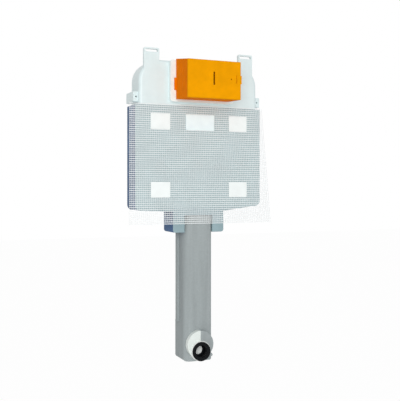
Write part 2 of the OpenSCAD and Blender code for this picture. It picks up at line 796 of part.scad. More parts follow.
// Angle stop valve: tail with the inlet socket through the roof, spindle boss to the front
module stop_valve_body() color(brass) difference() {
    union() {
        translate([stop_x, valve_y, port_z - stop_body_h / 2]) cylinder(h = stop_body_h, r = stop_r);
        translate([stop_x, valve_y, port_z]) cylinder(h = roof_z - gasket_t - port_z, r = stop_r - 2);
        translate([stop_x, valve_y, roof_z - gasket_t - 4]) cylinder(h = 4, r = stop_r + 5);
        translate([stop_x, valve_y, roof_z - gasket_t - 1])
            cylinder(h = inlet_z - roof_z + gasket_t + 1, r = stop_r);
        rod_y(stop_x, port_z, valve_y, valve_y - boss_l, spindle_r + 4);
        rod_x(stop_x, stop_port_x, valve_y, port_z, port_r);
    }
    translate([stop_x, valve_y, port_z]) cylinder(h = inlet_z - port_z, r = inlet_r - 3);
    translate([stop_x, valve_y, inlet_z - inlet_l]) cylinder(h = inlet_l + eps, r = inlet_r);
    rod_x(stop_x, stop_port_x + eps, valve_y, port_z, port_r - 3);
    rod_y(stop_x, port_z, valve_y, valve_y - boss_l - eps, spindle_r + run_gap);
}

module inlet_gasket() color(rubber_black) translate([stop_x, valve_y, roof_z - gasket_t]) difference() {
    cylinder(h = gasket_t, r = stop_r + 4);
    translate([0, 0, -eps]) cylinder(h = gasket_t + 2 * eps, r = stop_r + fit_gap);
}

module inlet_nut() color(brass) translate([stop_x, valve_y, upper_top]) difference() {
    cylinder(h = inlet_nut_t, r = stop_r + 6, $fn = 6);
    translate([0, 0, -eps]) cylinder(h = inlet_nut_t + 2 * eps, r = stop_r + fit_gap);
}

module stop_spindle() color(brass)
    rod_y(stop_x, port_z, valve_y - 4, valve_y - boss_l - 10, spindle_r);

// Wing handle, hanging down when the valve is shut
module stop_handle() color(valve_blue) difference() {
    union() {
        rod_y(stop_x, port_z, valve_y - boss_l - free_gap, valve_y - boss_l - 10, spindle_r + 5);
        plate(valve_y - boss_l - 3, valve_y - boss_l - 9) translate([stop_x, port_z]) {
            translate([-4, -handle_l + 4]) square([8, handle_l - 4]);
            translate([0, -handle_l + 4]) circle(4);
        }
    }
    rod_y(stop_x, port_z, valve_y, valve_y - boss_l - 10 - eps, spindle_r + 0.02);
}

module handle_screw() color(steel)
    rod_y(stop_x, port_z, valve_y - boss_l - 10, valve_y - boss_l - 12.5, spindle_r + 1.5);

// Short riser between the valves, with a coupling nut at each end
module supply_pipe() color(steel) difference() {
    union() {
        rod_x(stop_port_x, fill_port_x, valve_y, port_z, port_r - 2);
        for (x = [stop_port_x, fill_port_x - coupling_l])
            translate([x, valve_y, port_z]) rotate([0, 90, 0])
                cylinder(h = coupling_l, r = port_r + 3, $fn = 6);
    }
    rod_x(stop_port_x - eps, fill_port_x + eps, valve_y, port_z, port_r - 4);
}

// Fill valve: head with its side port, and a stem on which the float slides
module fill_valve_body() color(part_white) difference() {
    union() {
        translate([fill_x, valve_y, stem_z]) cylinder(h = head_t, r = head_r);
        translate([fill_x, valve_y, stem_z - stem_l]) cylinder(h = stem_l + 1, r = stem_r);
        rod_x(fill_port_x, fill_x, valve_y, port_z, port_r);
    }
    translate([fill_x, valve_y, stem_z - stem_l - eps]) cylinder(h = stem_l + 8 + eps, r = stem_r - 3);
    rod_x(fill_port_x - eps, fill_x - stem_r, valve_y, port_z, port_r - 3);
}

// Clip that ties the stem to the tank's back wall
module fill_bracket() color(part_white) difference() {
    union() {
        translate([fill_x, valve_y, stem_z - 14]) cylinder(h = 8, r = stem_r + 3);
        translate([fill_x - 6, valve_y, stem_z - 14]) cube([12, -tank_wall - valve_y, 8]);
        translate([fill_x - clip_foot_w / 2, -tank_wall - 3, stem_z - clip_foot_drop])
            cube([clip_foot_w, 3, clip_foot_h]);
    }
    translate([fill_x, valve_y, stem_z - 14 - eps]) cylinder(h = 8 + 2 * eps, r = stem_r + 0.1);
    translate([fill_x - stem_r * 0.7, valve_y - 2 * stem_r, stem_z - 14 - eps])
        cube([stem_r * 1.4, 2 * stem_r, 8 + 2 * eps]);
}

module fill_diaphragm() color(rubber_black)
    translate([fill_x, valve_y, cap_z]) cylinder(h = 1.5, r = head_r);

// Screwed cap that holds the diaphragm and carries the float arm's two ears
module fill_valve_cap() color(valve_blue) difference() {
    union() {
        translate([fill_x, valve_y, cap_z - 5]) cylinder(h = 5 + fill_cap_t, r = fill_cap_r);
        for (s = [-1, 1]) translate([arm_x, valve_y + s * (arm_w / 2 + free_gap + 1.5), 0]) {
            rod_y(0, arm_z, 1.5, -1.5, 3.5);
            translate([-3.5, -1.5, cap_z + fill_cap_t - 1]) cube([7, 3, arm_z - cap_z - fill_cap_t + 1]);
        }
    }
    translate([fill_x, valve_y, cap_z - 5 - eps]) cylinder(h = 5 + eps + 1.5 + 0.05, r = head_r + fit_gap);
    rod_y(arm_x, arm_z, 0, front_y, arm_pin_r + 0.02);
}

// Inverted cup on a bearing tube, with an ear for its rod
module fill_float() color([0.95, 0.85, 0.35]) difference() {
    union() {
        translate([fill_x, valve_y, float_z]) cylinder(h = float_h, r = float_r);
        translate([fill_x, valve_y - 5, float_z + float_h - 4]) cube([float_rod_x - fill_x + 5, 10, 4]);
    }
    translate([fill_x, valve_y, float_z - eps]) cylinder(h = float_h + 2 * eps, r = stem_r + run_gap);
    translate([fill_x, valve_y, float_z - eps]) rotate_extrude()
        translate([stem_r + 3, 0]) square([float_r - stem_r - 5, float_h - 3 + eps]);
}

module float_rod() color(steel) translate([float_rod_x, valve_y, 0]) {
    foot = float_z + float_h;
    translate([0, 0, foot]) cylinder(h = float_prong_z + 5 - foot, r = float_rod_r);
    translate([0, 0, foot]) cylinder(h = 4, r = float_rod_r + 1.5);
    rod_y(0, float_stop_z, arm_w / 2 + 2, -arm_w / 2 - 2, float_stop_r);
}

// Arm that the float's rod lifts, shutting the pilot with its short end
module float_arm() color(part_white)
translate([arm_x, valve_y, arm_z]) rotate([0, arm_swing / 2, 0]) difference() {
    union() {
        rod_y(0, 0, arm_w / 2, -arm_w / 2, 3.2);
        translate([-pad_reach - 3, -arm_w / 2, -arm_t / 2]) cube([pad_reach + 3 + float_arm_l, arm_w, arm_t]);
        rod_y(float_arm_l, 0, arm_w / 2 + 2, -arm_w / 2 - 2, arm_t / 2);
        translate([float_arm_l - 6, -arm_w / 2 - 2, -arm_t / 2]) cube([6, arm_w + 4, arm_t]);
    }
    rod_y(0, 0, arm_w, -arm_w, arm_pin_r + run_gap);
    translate([float_arm_l - 4, -float_rod_r - 1, -arm_t]) cube([10, 2 * float_rod_r + 2, 2 * arm_t]);
}

module arm_pad() color(rubber_black) translate([arm_x, valve_y, arm_z]) rotate([0, arm_swing / 2, 0])
    translate([-pad_reach, 0, -arm_t / 2 - 1.5]) cylinder(h = 1.5, r = 2.5);

module arm_pin() color(steel) {
    end = arm_w / 2 + free_gap + 3;
    rod_y(arm_x, arm_z, valve_y + end + 1, valve_y - end - 1, arm_pin_r);
}

// Path of the flush pipe as a solid of radius r, from a height down round the elbow
module bend_form(r, top) {
    translate([outlet_x, valve_y, outlet_z + bend_r]) cylinder(h = top - outlet_z - bend_r, r = r);
    translate([outlet_x, valve_y - bend_r, outlet_z + bend_r]) rotate([0, 90, 0])
        rotate_extrude(angle = 90) translate([bend_r, 0]) circle(r);
}

// Flanged drop pipe, a quarter bend and the socket that takes the cuff
module flush_pipe() color(part_white) {
    way = pipe_r - pipe_wall;
    translate([outlet_x, valve_y, 0]) difference() {
        union() {
            translate([0, 0, outlet_z + bend_r]) cylinder(h = pipe_top_z - outlet_z - bend_r, r = pipe_r);
            translate([0, 0, pipe_top_z - pipe_flange_t]) cylinder(h = pipe_flange_t, r = tail_r - 0.5);
        }
        translate([0, 0, outlet_z + bend_r - eps])
            cylinder(h = pipe_top_z - outlet_z - bend_r + 2 * eps, r = way);
    }
    translate([outlet_x, valve_y - bend_r, outlet_z + bend_r]) rotate([0, 90, 0])
        rotate_extrude(angle = 90) translate([bend_r, 0]) difference() {
            circle(pipe_r);
            circle(way);
        }
    difference() {
        rod_y(outlet_x, outlet_z, socket_y, mouth_y, socket_r);
        rod_y(outlet_x, outlet_z, socket_y + eps, mouth_y - eps, way);
        rod_y(outlet_x, outlet_z, cuff_y, mouth_y - eps, cuff_r + 0.1);
    }
}

module cone_seal() color(rubber_black) translate([outlet_x, valve_y, seal_z - cone_t]) difference() {
    cylinder(h = cone_t, r = tail_r - 0.5);
    translate([0, 0, -eps]) cylinder(h = cone_t + 2 * eps, r = pipe_r - pipe_wall);
}

module union_nut() color(part_white) translate([outlet_x, valve_y, union_z]) difference() {
    cylinder(h = union_h, r = union_r, $fn = 6);
    translate([0, 0, union_lip]) cylinder(h = union_h, r = tail_r + fit_gap);
    translate([0, 0, -eps]) cylinder(h = union_h, r = pipe_r + fit_gap);
}

// Rubber cuff in the elbow's socket, with a lip at which the pan's spigot stops
module outlet_cuff() color(rubber_black) difference() {
    rod_y(outlet_x, outlet_z, cuff_y, mouth_y - cuff_proud, cuff_r);
    rod_y(outlet_x, outlet_z, cuff_y + eps, mouth_y - cuff_proud - eps, cuff_bore_r - cuff_lip);
    rod_y(outlet_x, outlet_z, cuff_y - cuff_lip_t, mouth_y - cuff_proud - eps, cuff_bore_r);
}

// Round boss in front of the sleeve, cut out for the elbow's socket
module boss_form() difference() {
    rod_y(outlet_x, boss_z, front_y, front_y - boss_proud, boss_r);
    rod_y(outlet_x, outlet_z, front_y + eps, mouth_y, socket_r + fit_gap);
}

module half_space(side) {
    translate([side > 0 ? outlet_x : outlet_x - body_w, -2 * tank_d, sleeve_foot_z - body_h])
        cube([body_w, 3 * tank_d, 3 * body_h + 2 * sleeve_foot]);
}

// White half collar that grips the socket at the left of the split
module outlet_collar() color(part_white) intersection() {
    boss_form();
    half_space(-1);
}

// Foam sleeve round the flush pipe, before it is split; round behind, and square there round the bend
module sleeve_form(corner) difference() {
    intersection() {
        union() {
            translate([outlet_x, valve_y, sleeve_foot_z]) linear_extrude(sleeve_top_z - sleeve_foot_z)
                round_rect(sleeve_w, tank_d, corner);
            translate([outlet_x - sleeve_w / 2, -corner, sleeve_foot_z])
                cube([sleeve_w, corner, rail_z - sleeve_foot_z]);
        }
        plate(eps, front_y - eps) {
            translate([outlet_x - sleeve_w / 2, sleeve_foot_z + sleeve_foot_r])
                square([sleeve_w, sleeve_top_z - sleeve_foot_z - sleeve_foot_r]);
            translate([outlet_x - sleeve_w / 2 + sleeve_foot_r, sleeve_foot_z])
                square([sleeve_w - 2 * sleeve_foot_r, sleeve_foot_r]);
            for (s = [-1, 1])
                translate([outlet_x + s * (sleeve_w / 2 - sleeve_foot_r), sleeve_foot_z + sleeve_foot_r])
                    circle(sleeve_foot_r);
        }
    }
    bend_form(pipe_r + fit_gap, sleeve_top_z + eps);
    translate([outlet_x, valve_y, union_z - 2])
        cylinder(h = sleeve_top_z - union_z + 2 + eps, r = nut_room_r);
    rod_y(outlet_x, outlet_z, socket_y + free_gap, front_y - eps, socket_r + fit_gap);
}

// Left half of the sleeve, with the rail that wall clips grip
module sleeve_left() color(foam_grey) {
    intersection() {
        sleeve_form(sleeve_left_r);
        half_space(-1);
    }
    translate([outlet_x - sleeve_w / 2 - rail_w, rail_y, rail_z - 1])
        cube([rail_w + 3, rail_t, rail_top - rail_z + 1]);
}

// Right half of the sleeve carries its half of the boss and a small foot
module sleeve_right() color(foam_grey) {
    intersection() {
        union() {
            sleeve_form(sleeve_right_r);
            boss_form();
        }
        half_space(1);
    }
    rod_y(outlet_x + boss_r - 4, outlet_z - 16, front_y + 12, front_y - 8, 5);
}

tank();
tank_back();
insulation_jacket();
plaster_net();
net_patches();
label_plate();
window_frame();
guard_sleeve();
guard_cap();
valve_base();
base_gasket();
tail_nut();
valve_cage();
overflow_tube();
valve_seal();
flush_float();
tube_yoke();
full_lift_rod();
half_flush_weight();
half_lift_rod();
lift_bracket();
lever_pin();
full_flush_lever();
half_flush_lever();
stop_valve_body();
inlet_gasket();
inlet_nut();
stop_spindle();
stop_handle();
handle_screw();
supply_pipe();
fill_valve_body();
fill_bracket();
fill_diaphragm();
fill_valve_cap();
fill_float();
float_rod();
float_arm();
arm_pad();
arm_pin();
flush_pipe();
cone_seal();
union_nut();
outlet_cuff();
outlet_collar();
sleeve_left();
sleeve_right();
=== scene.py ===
import math

import bmesh
import bpy
import numpy as np
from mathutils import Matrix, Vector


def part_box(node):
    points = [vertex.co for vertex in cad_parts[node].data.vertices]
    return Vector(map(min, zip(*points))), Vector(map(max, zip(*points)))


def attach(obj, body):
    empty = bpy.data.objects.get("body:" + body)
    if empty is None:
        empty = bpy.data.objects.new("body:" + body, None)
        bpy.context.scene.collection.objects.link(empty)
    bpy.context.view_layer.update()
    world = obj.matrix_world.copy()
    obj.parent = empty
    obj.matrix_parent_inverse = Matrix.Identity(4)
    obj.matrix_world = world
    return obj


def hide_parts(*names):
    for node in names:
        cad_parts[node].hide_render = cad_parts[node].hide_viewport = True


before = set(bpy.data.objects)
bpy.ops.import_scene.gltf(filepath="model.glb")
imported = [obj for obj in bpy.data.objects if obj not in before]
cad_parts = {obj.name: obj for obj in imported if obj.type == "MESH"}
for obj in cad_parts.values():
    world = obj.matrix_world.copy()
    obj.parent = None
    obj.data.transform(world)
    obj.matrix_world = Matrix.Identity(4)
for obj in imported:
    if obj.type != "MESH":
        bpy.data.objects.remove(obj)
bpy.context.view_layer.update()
scene = bpy.context.scene
scene.view_settings.view_transform = "Standard"

# Camera: the photograph looks level at the middle of the tank from about 23 degrees to its left.
# The horizon lies a little above the middle of the picture, which the lens shift gives.
PHOTO_WIDTH = 400
FOCAL_PIXELS = 696
HORIZON_PIXELS = 13.8
SENSOR = 36.0
CAMERA_SPOT = (-0.8225, -2.0257, -0.0911)
CAMERA_TURN = -22.93


def put(name, data):
    """A new object that holds the data, linked into the scene at the origin."""
    item = bpy.data.objects.new(name, data)
    scene.collection.objects.link(item)
    return item


lens = bpy.data.cameras.new("photo_lens")
lens.sensor_fit = "HORIZONTAL"
lens.sensor_width = SENSOR
lens.lens = FOCAL_PIXELS / PHOTO_WIDTH * SENSOR
lens.shift_y = -HORIZON_PIXELS / PHOTO_WIDTH
camera = put("photo_camera", lens)
camera.location = CAMERA_SPOT
camera.rotation_euler = (math.radians(90), 0, math.radians(CAMERA_TURN))
scene.camera = camera

# Tank: two moulded polyethylene half shells welded along the middle, milky white, hung by two slotted
# ears and fixed by a lug on each shoulder. Moulding leaves the walls slightly wavy and softly glossy.
TANK_WHITE = (220, 234, 235)


def linear(red, green, blue):
    """An 8-bit screen colour as the linear colour, with alpha, that a shader reads."""
    screen = np.array([red, green, blue]) / 255
    low, high = screen / 12.92, ((screen + 0.055) / 1.055) ** 2.4
    return (*np.where(screen <= 0.04045, low, high), 1.0)


def shade(colour, amount):
    """A screen colour made lighter or darker by a factor, held inside the screen's range."""
    return tuple(min(255, channel * amount) for channel in colour)


def feed(tree, socket, value):
    """Gives an input its value, which is either a socket to link or a value to set."""
    if isinstance(value, bpy.types.NodeSocket):
        tree.links.new(value, socket)
    else:
        socket.default_value = value


def connect(tree, node, **inputs):
    """Feeds inputs of a node by their names, in which an underscore stands for a space."""
    for name, value in inputs.items():
        feed(tree, node.inputs[name.replace("_", " ")], value)


def add(tree, kind, settings=None, **inputs):
    """A new shader node of that kind, with its settings made and its inputs fed."""
    node = tree.nodes.new("ShaderNode" + kind)
    for name, value in (settings or {}).items():
        setattr(node, name, value)
    connect(tree, node, **inputs)
    return node


def combine(tree, kind, operation, first, second):
    """The result of a math node of that kind on two inputs, each a socket to link or a value to set."""
    node = add(tree, kind, {"operation": operation})
    feed(tree, node.inputs[0], first)
    feed(tree, node.inputs[1], second)
    return node.outputs[0]


def place(tree, stretch=(1, 1, 1), centre=(0, 0, 0)):
    """Object coordinates measured from a centre and stretched along each axis."""
    point = add(tree, "TexCoord").outputs["Object"]
    shifted = combine(tree, "VectorMath", "SUBTRACT", point, centre)
    return add(tree, "Mapping", Vector=shifted, Scale=stretch).outputs[0]


def noise(tree, at, scale, detail, **inputs):
    """Noise as a factor, in lumps of about one metre over the scale."""
    return add(tree, "TexNoise", Vector=at, Scale=scale, Detail=detail, **inputs).outputs["Fac"]


def tones(tree, factor, colour, dark, light, span=(0.3, 0.7)):
    """A screen colour that goes from dark to light, both shares of it, as a factor crosses a span."""
    ramp = add(tree, "ValToRGB", Fac=factor)
    for point, position, amount in zip(ramp.color_ramp.elements, span, (dark, light)):
        point.position = position
        point.color = linear(*shade(colour, amount))
    return ramp.outputs[0]


def spread(tree, factor, low, high):
    """A factor from 0 to 1 carried over to the range from low to high."""
    return add(tree, "MapRange", Value=factor, To_Min=low, To_Max=high).outputs[0]


def raised(tree, height, depth, under=None):
    """The surface normal with a height field, depth metres from 0 to 1, over another normal."""
    bump = add(tree, "Bump", Height=height, Distance=depth, Strength=1.0)
    if under is not None:
        connect(tree, bump, Normal=under)
    return bump.outputs[0]


def finish_of(name, **inputs):
    """A new material with its node tree and its shader, whose uniform values are set on its inputs."""
    material = bpy.data.materials.new(name)
    material.use_nodes = True
    tree = material.node_tree
    shader = tree.nodes["Principled BSDF"]
    connect(tree, shader, **inputs)
    return material, tree, shader


def moulded(name, colour, roughness, flow, grain, flow_depth=0.0003, grain_depth=0.00004, mottle=0.03,
            **inputs):
    """Moulded plastic: slow flow waves and a fine grain in the surface, both from noise, with the
    colour and the gloss drifting a little along the flow."""
    material, tree, shader = finish_of(name, Roughness=roughness, **inputs)
    at = place(tree)
    drift = noise(tree, at, flow, 3.0, Roughness=0.55)
    speck = noise(tree, at, grain, 2.0)
    waves = raised(tree, drift, flow_depth)
    connect(tree, shader,
            Base_Color=tones(tree, drift, colour, 1 - mottle, 1 + mottle),
            Roughness=spread(tree, drift, roughness - 0.06, roughness + 0.06),
            Normal=raised(tree, speck, grain_depth, waves))
    return material


def dress(material, *nodes):
    """Gives CAD nodes a material in each of their slots."""
    for node in nodes:
        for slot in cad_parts[node].material_slots:
            slot.material = material


tank_plastic = moulded("moulded_polyethylene", TANK_WHITE, roughness=0.36, flow=26, grain=1400,
                       flow_depth=0.0009, grain_depth=0.00006, mottle=0.012,
                       Coat_Weight=0.12, Coat_Roughness=0.3)
dress(tank_plastic, "tank", "tank_back")

# Flush valve: a grey base and cage screwed into the sump, a blue overflow tube that lifts with its
# seal, and the rods, yoke and levers that raise it. Injection-moulded, with drawn steel rods.
VALVE_GREY = (150, 156, 162)
VALVE_BLUE = (96, 146, 196)
PART_WHITE = (228, 235, 231)
FLOAT_YELLOW = (243, 219, 98)
STEEL = (192, 195, 199)
RUBBER_BLACK = (16, 17, 20)
SEAL_MIDDLE = (0, -0.04, 0)
SEAL_RINGS = 0.0012


def drawn_metal(name, colour, roughness, stretch):
    """Drawn or turned metal: fine streaks, which are noise stretched out along one axis."""
    material, tree, shader = finish_of(name, Roughness=roughness, Metallic=1.0)
    streak = noise(tree, place(tree, stretch), 1800.0, 3.0)
    connect(tree, shader,
            Base_Color=tones(tree, streak, colour, 0.88, 1.05),
            Roughness=spread(tree, streak, roughness - 0.08, roughness + 0.1),
            Normal=raised(tree, streak, 0.00003))
    return material


def wave_scale(pitch):
    """The scale at which a wave texture repeats once in a pitch. At scale 1 it repeats every pi / 10."""
    return math.pi / 10 / pitch


def moulded_rubber(name, colour, centre, pitch, shine=0.4):
    """Black rubber: rings from its turned mould, a wave of the distance from the piece's middle, and
    a dusty bloom that lightens it in patches."""
    material, tree, shader = finish_of(name, Roughness=0.5, Specular_IOR_Level=shine)
    at = place(tree, centre=centre)
    rings = add(tree, "TexWave", {"wave_type": "RINGS", "rings_direction": "SPHERICAL"},
                Vector=at, Scale=wave_scale(pitch), Distortion=0.2).outputs["Fac"]
    bloom = noise(tree, at, 70.0, 4.0)
    connect(tree, shader,
            Base_Color=tones(tree, bloom, colour, 1.0, 1.9, span=(0.4, 0.8)),
            Roughness=spread(tree, bloom, 0.38, 0.62),
            Normal=raised(tree, rings, 0.00008))
    return material


grey_plastic = moulded("grey_moulding", VALVE_GREY, roughness=0.42, flow=60, grain=2200)
blue_plastic = moulded("blue_moulding", VALVE_BLUE, roughness=0.38, flow=60, grain=2200, grain_depth=0.00003)
white_plastic = moulded("white_moulding", PART_WHITE, roughness=0.4, flow=48, grain=2000, mottle=0.015)
yellow_plastic = moulded("yellow_moulding", FLOAT_YELLOW, roughness=0.42, flow=60, grain=2000)
steel = drawn_metal("drawn_steel", STEEL, roughness=0.3, stretch=(1, 1, 0.03))
seal_rubber = moulded_rubber("seal_rubber", RUBBER_BLACK, SEAL_MIDDLE, SEAL_RINGS)
dress(grey_plastic, "valve_base", "tail_nut", "valve_cage", "half_flush_weight")
dress(blue_plastic, "overflow_tube", "full_flush_lever", "half_flush_lever")
dress(white_plastic, "tube_yoke", "lift_bracket")
dress(yellow_plastic, "flush_float")
dress(seal_rubber, "valve_seal", "base_gasket")
dress(steel, "full_lift_rod", "half_lift_rod", "lever_pin")

# Water inlet: a turned brass stop valve under the roof with a blue quarter-turn handle, a short
# steel supply pipe, and a white fill valve whose float shuts it through a small arm.
BRASS = (203, 166, 88)

turned_brass = drawn_metal("turned_brass", BRASS, roughness=0.28, stretch=(1, 1, 0.2))
cross_steel = drawn_metal("drawn_tube", STEEL, roughness=0.3, stretch=(0.03, 1, 1))
dress(turned_brass, "stop_valve_body", "inlet_nut", "stop_spindle")
dress(seal_rubber, "inlet_gasket", "fill_diaphragm", "arm_pad")
dress(blue_plastic, "stop_handle", "fill_valve_cap")
dress(cross_steel, "supply_pipe", "handle_screw", "arm_pin")
dress(white_plastic, "fill_valve_body", "fill_bracket", "float_arm")
dress(yellow_plastic, "fill_float")
dress(steel, "float_rod")

# Insulation jacket: closed-cell foam sheet wrapped round the wide body and the neck, teal grey on
# its skin and paler above a set height, with painted shade as a darker, bluer tone on every face that
# does not look forward. Its edges are soft, and the skin is pitted with fine cells.
FOAM_SKIN = (147, 170, 176)
FOAM_UPPER_TONE = (164, 185, 188)
# The darker, bluer side tone is painted shade for faces that do not look forward.
FOAM_SIDE_SHADE = (76, 104, 142)
# The skin is paler above this height, blended over the fade.
UPPER_TONE_FOOT = -0.158
UPPER_TONE_FADE = 0.01
FOAM_EDGE_R = 0.0012
SLOT_MARGIN = 0.002
MERGE_WITHIN = 1e-6
FLAT_ANGLE = math.radians(0.5)
SMOOTH_ANGLE = math.radians(35)
EDGE_ANGLE = math.radians(40)


def eased(node, name, radius, segments=3):
    """A copy of a CAD node with its doubles merged, its flat faces made whole again, and every edge
    sharper than the edge angle rounded to a radius. It stands where the node stands."""
    shape = bmesh.new()
    shape.from_mesh(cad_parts[node].data)
    bmesh.ops.remove_doubles(shape, verts=shape.verts, dist=MERGE_WITHIN)
    bmesh.ops.dissolve_limit(shape, angle_limit=FLAT_ANGLE, verts=shape.verts, edges=shape.edges)
    mesh = bpy.data.meshes.new(name)
    shape.to_mesh(mesh)
    shape.free()
    mesh.materials.clear()
    mesh.shade_smooth()
    mesh.set_sharp_from_angle(angle=SMOOTH_ANGLE)
    piece = put(name, mesh)
    rounding = piece.modifiers.new("rounding", "BEVEL")
    rounding.width, rounding.segments = radius, segments
    rounding.limit_method, rounding.angle_limit = "ANGLE", EDGE_ANGLE
    rounding.use_clamp_overlap = False
    rounding.harden_normals = True
    return piece


def share_of_way(tree, value, start, end):
    """How far a value has come from start to end, as a share from 0 to 1."""
    return add(tree, "MapRange", Value=value, From_Min=start, From_Max=end).outputs[0]


def cell_foam(name, skin, upper_tone, side_shade):
    """Foam sheet: small Voronoi cells pit the surface, noise clouds the colour, the skin turns to a paler
    tone above a set height, and faces that look sideways take a darker, bluer tone of painted shade."""
    material, tree, shader = finish_of(name, Roughness=0.7, Specular_IOR_Level=0.3)
    at = place(tree)
    cells = add(tree, "TexVoronoi", Vector=at, Scale=650.0).outputs["Distance"]
    cloud = noise(tree, at, 14.0, 4.0)
    height = add(tree, "SeparateXYZ", Vector=at).outputs["Z"]
    facing = add(tree, "SeparateXYZ", Vector=add(tree, "NewGeometry").outputs["Normal"]).outputs["Y"]
    front = add(tree, "MixRGB", Fac=share_of_way(tree, height, UPPER_TONE_FOOT - UPPER_TONE_FADE, UPPER_TONE_FOOT + UPPER_TONE_FADE),
                Color1=tones(tree, cloud, skin, 0.96, 1.03), Color2=tones(tree, cloud, upper_tone, 0.96, 1.03))
    # Painted shade: faces that do not look forward take the darker, bluer side tone.
    whole = add(tree, "MixRGB", Fac=share_of_way(tree, facing, -0.2, -0.8),
                Color1=tones(tree, cloud, side_shade, 0.9, 1.08), Color2=front.outputs[0])
    swell = raised(tree, cloud, 0.002)
    connect(tree, shader, Base_Color=whole.outputs[0], Normal=raised(tree, cells, 0.0001, swell))
    return material


jacket = eased("insulation_jacket", "foam_jacket", FOAM_EDGE_R)
jacket.data.materials.append(cell_foam("foam_sheet", FOAM_SKIN, FOAM_UPPER_TONE, FOAM_SIDE_SHADE))
# Sideways faces in the sleeves' slot keep the skin tone and get no painted side shade.
jacket.data.materials.append(cell_foam("foam_slot", FOAM_SKIN, FOAM_SKIN, FOAM_SKIN))
slot_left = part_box("sleeve_left")[0][0] - SLOT_MARGIN
slot_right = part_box("sleeve_right")[1][0] + SLOT_MARGIN
slot_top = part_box("sleeve_left")[1][2]
for face in jacket.data.polygons:
    in_slot = slot_left < face.center.x < slot_right and face.center.z < slot_top
    looks_sideways = abs(face.normal.x) > 0.5
    face.material_index = int(in_slot and looks_sideways)
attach(jacket, "cistern")
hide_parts("insulation_jacket")

# Plaster net: coated glass-fibre mesh, cut as one sheet and stretched over the jacket's front so
# that plaster keys to it. Broad and fine weft threads take turns across the thin warp. Its left,
# right and lower margins hang free past the body, the left one trimmed close.
NET_PITCH = 0.0063
NET_TRIM = 0.0045
NET_FLARE = 0.032
BROAD_WEFT_W = 0.0017
FINE_WEFT_W = 0.0003
WARP_W = 0.00045
THREAD_T = 0.0008
THREAD_WAVE = 0.0003
WARP_WANDER = 0.00025
WARP_JITTER = 0.00008
WEFT_WANDER = 0.00015
WEFT_JITTER = 0.00006
HELD_MARGIN = 1 / 6
NET_SEED = 11
NET_WHITE = (246, 250, 251)


def woven_net(low, high):
    """A plain weave as one mesh. Point (u, v) of the sheet lies a share u of the way across and v of
    the way down, and the right edge leans out by the flare. The warp runs down, and the weft, two
    threads to a pitch, runs across, and they pass over each other in turn, by plus or minus the wave.
    Threads wander a little, and less within a margin of the sheet's edges. Each thread is a flat
    strip, a rectangle carried along the crossings it passes, with closed ends."""
    cols = round((high[0] - low[0]) / NET_PITCH)
    rows = 2 * round((high[2] - low[2]) / NET_PITCH)
    u, v = np.meshgrid(np.linspace(0, 1, cols + 1), np.linspace(0, 1, rows + 1), indexing="ij")
    right = high[0] - NET_FLARE * (1 - v)
    x = low[0] + WARP_W / 2 + u * (right - low[0] - WARP_W)
    z = high[2] - BROAD_WEFT_W / 2 - v * (high[2] - low[2] - BROAD_WEFT_W)
    inwards = np.minimum(np.minimum(u, 1 - u), np.minimum(v, 1 - v))
    slack = np.minimum(1, inwards / HELD_MARGIN)
    draw = np.random.default_rng(NET_SEED).normal
    x = x + slack * (draw(0, WARP_WANDER, (cols + 1, 1)) + draw(0, WARP_JITTER, u.shape))
    z = z + slack * (draw(0, WEFT_WANDER, (1, rows + 1)) + draw(0, WEFT_JITTER, u.shape))
    over = (-1.0) ** np.add.outer(np.arange(cols + 1), np.arange(rows + 1)) * THREAD_WAVE
    middle = (low[1] + high[1]) / 2
    warp = np.stack([x, middle + over, z], axis=-1)
    weft = np.stack([x, middle - over, z], axis=-1).transpose(1, 0, 2)
    warp_side = np.full((cols + 1, 1), WARP_W / 2) * (1, 0, 0)
    weft_width = np.where(np.arange(rows + 1) % 2, FINE_WEFT_W, BROAD_WEFT_W)
    weft_side = weft_width[:, None] / 2 * (0, 0, 1)
    through = np.array([0, THREAD_T / 2, 0])
    points, faces, count = [], [], 0
    for line, across in ((warp, warp_side), (weft, weft_side)):
        threads, stations = line.shape[:2]
        corners = np.stack([across + through, through - across, -across - through, across - through], axis=1)
        points.append((line[:, :, None] + corners[:, None]).reshape(-1, 3))
        at = count + np.arange(threads * stations * 4).reshape(threads, stations, 4)
        count += at.size
        first, following = at[:, :-1], at[:, 1:]
        walls = np.stack([following, np.roll(following, -1, 2), np.roll(first, -1, 2), first], axis=-1)
        ends = np.stack([at[:, 0], at[:, -1, ::-1]])
        faces += [walls.reshape(-1, 4), ends.reshape(-1, 4)]
    mesh = bpy.data.meshes.new("woven_net")
    mesh.from_pydata(np.concatenate(points), [], np.concatenate(faces).tolist())
    mesh.validate()
    return mesh


def coated_thread(name, colour):
    """Coated glass thread: fine filaments as stretched noise, under a dull white coat."""
    material, tree, shader = finish_of(name, Roughness=0.55)
    fibre = noise(tree, place(tree, (1, 0.2, 0.4)), 2500.0, 2.0)
    connect(tree, shader,
            Base_Color=tones(tree, fibre, colour, 0.95, 1.02),
            Normal=raised(tree, fibre, 0.00005))
    return material


net_low, net_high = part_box("plaster_net")
net_low = (net_low[0] + NET_TRIM, net_low[1], net_low[2])
net = put("woven_net", woven_net(net_low, net_high))
net.data.materials.append(coated_thread("coated_thread", NET_WHITE))
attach(net, "cistern")
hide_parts("plaster_net")

# Adhesive patches and the label's blank place: white film pressed on to the net, which shows faintly
# through it as a low square relief. The label's film is a cooler white, a tint painted to cancel the
# warm light that the orange guard bounces on to it.
FILM_WHITE = (241, 247, 246)
# A cool tint painted to cancel the guard's warm bounce light.
LABEL_COOLED_WHITE = (236, 251, 254)


